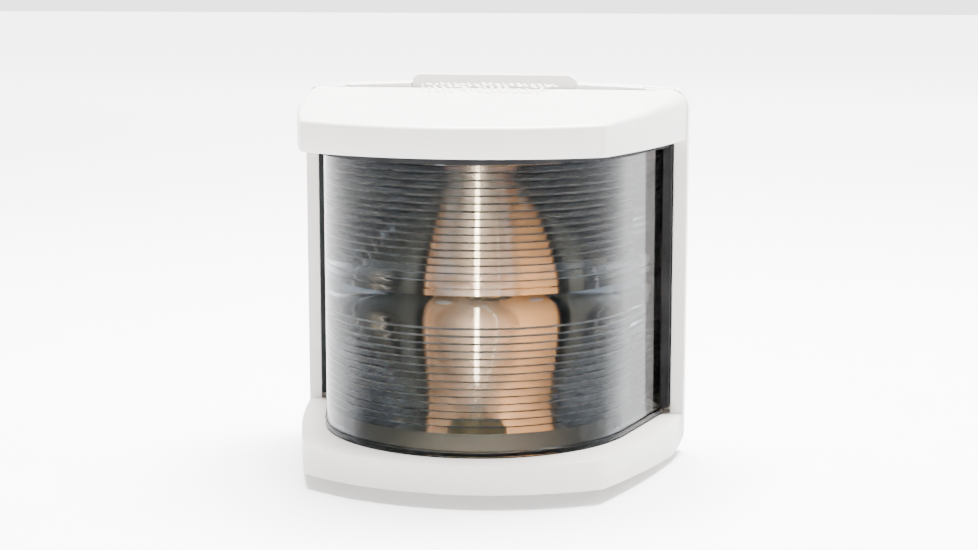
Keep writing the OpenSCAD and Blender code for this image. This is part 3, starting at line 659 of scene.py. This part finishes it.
def lens_profile():
    """Section of the lens wall as (offset, z): smooth outside, flange below, ribs inside."""
    low, step = LENS_BOTTOM, LENS_BOTTOM + FLANGE_H
    pts = [(0, LENS_TOP), (0, step + 0.25), (0.08, step + 0.05),
           (FLANGE_OUT - 0.12, step), (FLANGE_OUT, step - 0.15),
           (FLANGE_OUT, low + 0.15), (FLANGE_OUT - 0.15, low), (-LENS_T, low)]
    for i in reversed(range(RIBS_DOWN)):
        z0 = -BAND_HALF - i * RIB_PITCH
        d = rib_depth(z0 - RIB_PITCH / 2, -1, STEEPEST_DOWN, DRAFT_DOWN)
        pts += [(-LENS_T, z0 - RIB_PITCH + DRAFT_DOWN), (-LENS_T - d, z0)]
    for k in range(-BAND_STEPS, BAND_STEPS + 1):
        bulge = BAND_BULGE * (1 - (k / BAND_STEPS) ** 2)
        pts.append((-LENS_T - BAND_FOOT - bulge, k * BAND_HALF / BAND_STEPS))
    for i in range(RIBS_UP):
        z0 = BAND_HALF + i * RIB_PITCH
        d = rib_depth(z0 + RIB_PITCH / 2, 1, STEEPEST_UP, DRAFT_UP)
        pts += [(-LENS_T - d, z0), (-LENS_T, z0 + RIB_PITCH - DRAFT_UP)]
    pts.append((-LENS_T, LENS_TOP))
    return pts


lens = Parts()
sweep(lens, lens_profile(), lens_path(120, 8, LENS_BACK), LENS_BACK)
for x, y in SCREW_POSTS:
    under = LENS_TOP - BOSS_DEPTH
    lens.lathe([(BOSS_HOLE_R, under), (BOSS_R - 0.1, under), (BOSS_R, under + 0.1),
                (BOSS_R, LENS_TOP), (BOSS_HOLE_R, LENS_TOP)], (x, y), 28, True)
lens_ob = make("ribbed_lens", lens, LENS, "cover", 22)
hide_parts("lens")

FLANK_TILT = 0.2  # least upright share of a flank's normal


def is_flank(face):
    """True for the short flanks between the ribs, which face the centre band."""
    p = face.center / MM
    run = math.hypot(p.x, p.y + LENS_CY) if p.y < lens_ty else 0
    inner = run < LENS_R - LENS_T - 0.01 and abs(p.x) < LENS_R - LENS_T
    ribbed = BAND_HALF + 0.1 < abs(p.z) < LENS_TOP - 3
    inward = face.normal.z > FLANK_TILT if p.z < 0 else face.normal.z < -FLANK_TILT
    return inner and ribbed and inward


lens_ob.data.materials.append(FLANK)
for face in lens_ob.data.polygons:
    face.material_index = int(is_flank(face))

# ---------------------------------------------------------------- bulb

GLASS_R, NECK_R, GLASS_T = 12.5, 7.0, 0.6
NECK_LOW, NECK_HIGH, GLASS_MIDDLE = -23.5, -16.5, 0.5
SHOULDER = math.radians(-58)  # where the neck meets the round of the glass
SHOULDER_STEPS, ROUND_STEPS = 9, 32


def glass_profile(inset):
    """Pear-shaped glass as (radius, z): neck, shoulder, round top."""
    r, neck = GLASS_R - inset, NECK_R - inset
    pts = [(neck, NECK_LOW), (neck, NECK_HIGH)]
    sx, sz = r * math.cos(SHOULDER), GLASS_MIDDLE + r * math.sin(SHOULDER)
    for k in range(1, SHOULDER_STEPS):
        t = k / SHOULDER_STEPS
        ease = t * t * (3 - 2 * t)
        pts.append((neck + (sx - neck) * ease, NECK_HIGH + (sz - NECK_HIGH) * t))
    for k in range(ROUND_STEPS + 1):
        a = SHOULDER + (math.pi / 2 - SHOULDER) * k / ROUND_STEPS
        pts.append((max(r * math.cos(a), 0), GLASS_MIDDLE + r * math.sin(a)))
    return pts


glass = Parts()
outer, inner = glass_profile(0), glass_profile(GLASS_T)
glass.lathe(outer + inner[::-1], (0, BULB_Y), 72)
glass.lathe([inner[0], outer[0]], (0, BULB_Y), 72)
glass_ob = make("bulb_envelope", glass, BULB_GLASS, "bulb", 40)
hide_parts("bulb_glass")

STEM_PROFILE = [(6.0, -23.4), (5.2, -22.6), (3.6, -21.0), (2.9, -19.0), (2.7, -15.5),
                (2.5, -14.2), (0, -14.0)]
# the pinched part of the stem: height, half width and half depth of its sections
PRESS = ((-15.0, 2.4, 2.0), (-13.4, 2.9, 1.3), (-11.8, 3.1, 1.0), (-10.3, 3.1, 1.0),
         (-9.9, 2.7, 0.6))
stem = Parts()
stem.lathe(STEM_PROFILE, (0, BULB_Y), 40)
stem.rings([[(wide * x, BULB_Y + deep * y, z) for x, y in circle(1, 32)]
            for z, wide, deep in PRESS])
stem_ob = make("bulb_press", stem, BULB_GLASS, "bulb", 40)
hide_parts("bulb_stem")

COIL_R, COIL_TURNS, COIL_LOW, COIL_HIGH = 0.5, 22, -8.5, 4.6
TURN_STEPS, COIL_WIRE_R, POST_WIRE_R = 14, 0.16, 0.22
coil_pts = []
for k in range(COIL_TURNS * TURN_STEPS + 1):
    a = 2 * math.pi * k / TURN_STEPS
    z = COIL_LOW + (COIL_HIGH - COIL_LOW) * k / (COIL_TURNS * TURN_STEPS)
    coil_pts.append((COIL_R * math.cos(a), BULB_Y + COIL_R * math.sin(a), z))
coil = Parts()
coil.tube(coil_pts, COIL_WIRE_R, 6)
coil_ob = make("glowing_coil", coil, FILAMENT, "bulb", 60)
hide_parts("filament")


def smooth_path(points, steps=10):
    """Smooth (Catmull-Rom) curve through points."""
    pts = [Vector(p) for p in points]
    out = []
    for i in range(len(pts) - 1):
        a, b = pts[max(i - 1, 0)], pts[i]
        c, d = pts[i + 1], pts[min(i + 2, len(pts) - 1)]
        for k in range(steps):
            t = k / steps
            out.append(0.5 * ((2 * b) + (c - a) * t + (2 * a - 5 * b + 4 * c - d) * t * t
                              + (3 * b - a - 3 * c + d) * t ** 3))
    out.append(pts[-1])
    return out


# (x, z) from the stem to the lower and to the upper end of the coil
WIRE_ROUTES = ([(-2, -10), (-2.1, -9.5), (-1.6, -9.0), (-0.8, -8.9), (0, -8.8)],
               [(2, -10), (3.2, -8), (5.2, -5.2), (6.3, -1.5), (6.4, 2.0), (5.6, 4.6),
                (3.6, 5.6), (1.4, 5.4), (0, 4.9)])
posts = Parts()
for route in WIRE_ROUTES:
    posts.tube(smooth_path([(x, BULB_Y, z) for x, z in route]), POST_WIRE_R, 10)
posts_ob = make("support_wires", posts, NICKEL, "bulb", 60)
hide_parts("filament_posts")

# ---------------------------------------------------------------- CAD nodes that stay

# node: finish, and width in mm of the bevel on its edges
KEPT = {
    "base_housing": (BASE_WHITE_PAINTED_SHADE, 0.5), "release_catch": (CATCH_WHITE, 0.3),
    "light_screen": (BLACK, 0.25), "heat_shield": (SHIELD, 0.15),
    "screen_screws": (STEEL, 0.1), "holder_screws": (STEEL, 0.1),
    "terminal_screws": (STEEL, 0.1), "lens_screws": (STEEL, 0.1), "catch_pin": (STEEL, 0.1),
    "bottom_seal": (RUBBER, 0.2), "top_seal": (RUBBER, 0.25), "side_seals": (RUBBER, 0.3),
    "cable_grommet": (RUBBER, 0.2), "lamp_holder": (HOLDER, 0.25),
    "socket_sleeve": (BRASS, 0.08), "terminals": (BRASS, 0.2), "contact_rivets": (BRASS, 0.1),
    "contact_disc": (FIBRE, 0.1), "contact_spring": (SPRING, 0), "catch_spring": (SPRING, 0),
    "flex_leads": (LEAD, 0), "bulb_base": (BULB_BRASS, 0.1), "bulb_pins": (BULB_BRASS, 0.2),
    "bulb_insulator": (CEMENT, 0.1), "bulb_contacts": (SOLDER, 0.1),
}
NODE_WELD = 1e-6  # m
FLAT_WITHIN, SHARP_FROM = math.radians(0.3), math.radians(40)
for node, (mat, edge) in KEPT.items():
    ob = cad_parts[node]
    if not ob.data.materials:
        ob.data.materials.append(mat)
    for s in ob.material_slots:
        s.link = "OBJECT"
        s.material = mat
    if edge:
        weld = ob.modifiers.new("weld", "WELD")
        weld.merge_threshold = NODE_WELD
        flat = ob.modifiers.new("flat", "DECIMATE")
        flat.decimate_type = "DISSOLVE"
        flat.angle_limit = FLAT_WITHIN
        bev = ob.modifiers.new("edge", "BEVEL")
        bev.width = edge * MM
        bev.segments = 3
        bev.limit_method = "ANGLE"
        bev.angle_limit = SHARP_FROM
        bev.harden_normals = True
        bev.use_clamp_overlap = True

# ---------------------------------------------------------------- stage, lights, camera


def place(name, data, location=(0, 0, 0)):
    """A new object in the scene."""
    ob = bpy.data.objects.new(name, data)
    ob.location = location
    scene.collection.objects.link(ob)
    return ob


def stage_face(name, corners, mat):
    """One flat face that belongs to the studio; corners in m."""
    me = bpy.data.meshes.new(name)
    me.from_pydata(corners, [], [tuple(range(len(corners)))])
    me.materials.append(mat)
    return me


FLOOR_HALF, FLOOR_DROP = 6.0, 0.0002  # m
GLOW_FRONT, GLOW_BACK = 0.5, 5.0
GLOW_NEAR, GLOW_FAR = 0.35, 1.6  # m behind the light, where the floor's glow grows
floor_mat = moulded("studio_floor", (0.90, 0.90, 0.90), (0.93, 0.93, 0.93),
                    (0.85, 0.95), 40, 0.02)
nodes, links = floor_mat.node_tree.nodes, floor_mat.node_tree.links
floor_bsdf = nodes["Principled BSDF"]
floor_bsdf.inputs["Emission Color"].default_value = (1, 1, 1, 1)
coord = nodes.new("ShaderNodeTexCoord")
axes = nodes.new("ShaderNodeSeparateXYZ")
spread = ramp_between(nodes, GLOW_NEAR, GLOW_FAR, GLOW_FRONT, GLOW_BACK, smooth=True)
links.new(coord.outputs["Object"], axes.inputs["Vector"])
links.new(axes.outputs["Y"], spread.inputs["Value"])
links.new(spread.outputs["Result"], floor_bsdf.inputs["Emission Strength"])
floor_corners = [(x * FLOOR_HALF, y * FLOOR_HALF, 0)
                 for x, y in ((-1, -1), (1, -1), (1, 1), (-1, 1))]
floor = place("floor", stage_face("floor", floor_corners, floor_mat),
              (0, 0, CAD_LO.z - FLOOR_DROP))

# black discs just inside the two screw holes: painted shade standing for the bulkhead the light
# is screwed to, seen only through those holes
HOLE_R, HOLE_X, SPOT_Y = 2.15, 32.0, -1.0
for side in (-1, 1):
    rim = [tuple(c * MM for c in (side * HOLE_X + x, SPOT_Y, z)) for x, z in circle(HOLE_R, 32)]
    place("screw_hole_shade", stage_face("screw_hole_shade", rim, BLACK))

# the sky is brighter behind the light than in front, and dims above the horizon
SKY_FRONT, SKY_BACK, SKY_TURN = 0.3, 3.0, 0.35
DIM_FROM, DIM_TO, DIMMEST = 0.05, 0.35, 0.25
world = bpy.data.worlds.new("studio")
scene.world = world
world.use_nodes = True
nodes, links = world.node_tree.nodes, world.node_tree.links
coord = nodes.new("ShaderNodeTexCoord")
axes = nodes.new("ShaderNodeSeparateXYZ")
sky = ramp_between(nodes, -SKY_TURN, SKY_TURN, SKY_FRONT, SKY_BACK, smooth=True)
height = ramp_between(nodes, DIM_FROM, DIM_TO, 1.0, DIMMEST, smooth=True)
both = nodes.new("ShaderNodeMath")
both.operation = "MULTIPLY"
links.new(coord.outputs["Generated"], axes.inputs["Vector"])
links.new(axes.outputs["Y"], sky.inputs["Value"])
links.new(axes.outputs["Z"], height.inputs["Value"])
links.new(sky.outputs["Result"], both.inputs[0])
links.new(height.outputs["Result"], both.inputs[1])
links.new(both.outputs["Value"], nodes["Background"].inputs["Strength"])
nodes["Background"].inputs["Color"].default_value = (1, 1, 1, 1)


def area(name, location, target, size, power):
    """Square lamp of that size in m and power in W, turned to a target."""
    light = bpy.data.lights.new(name, "AREA")
    light.shape = "SQUARE"
    light.size = size
    light.energy = power
    ob = place(name, light, location)
    ob.rotation_mode = "QUATERNION"
    ob.rotation_quaternion = (Vector(target) - Vector(location)).to_track_quat("-Z", "Y")
    return ob


area("key", (-0.25, -0.8, 0.6), (0, -0.03, 0), 0.7, 2.0)
side_light = area("side", (1.0, 0.1, 0.7), (0.04, -0.03, 0), 0.6, 5)
side_light.visible_glossy = False
side_light.visible_transmission = False
area("top", (0.05, 0.12, 1.1), (0, -0.03, 0.05), 0.8, 170)

COIL_MIDDLE = -2
lamp = bpy.data.lights.new("lamp_glow", "POINT")
lamp.energy, lamp.color, lamp.shadow_soft_size = 0.25, (1.0, 0.68, 0.42), 0.002
lamp_ob = place("lamp_glow", lamp, (0, BULB_Y * MM, COIL_MIDDLE * MM))
lamp_ob.visible_camera = False
lamp_ob.visible_transmission = False

CAM_LENS, CAM_SENSOR = 69.9, 36
CAM_PLACE = (0.10431, -0.53384, 0.08533)
CAM_AZ, CAM_EL = math.radians(11.28), math.radians(9.02)
cam_data = bpy.data.cameras.new("camera")
cam_data.sensor_width = CAM_SENSOR
cam_data.lens = CAM_LENS
cam_data.clip_start, cam_data.clip_end = 0.01, 50
cam = place("camera", cam_data, CAM_PLACE)
back = Vector((math.sin(CAM_AZ) * math.cos(CAM_EL), -math.cos(CAM_AZ) * math.cos(CAM_EL),
               math.sin(CAM_EL)))
right = Vector((math.cos(CAM_AZ), math.sin(CAM_AZ), 0))
up = back.cross(right)
cam.rotation_mode = "QUATERNION"
cam.rotation_quaternion = Matrix((right, up, back)).transposed().to_quaternion()
scene.camera = cam
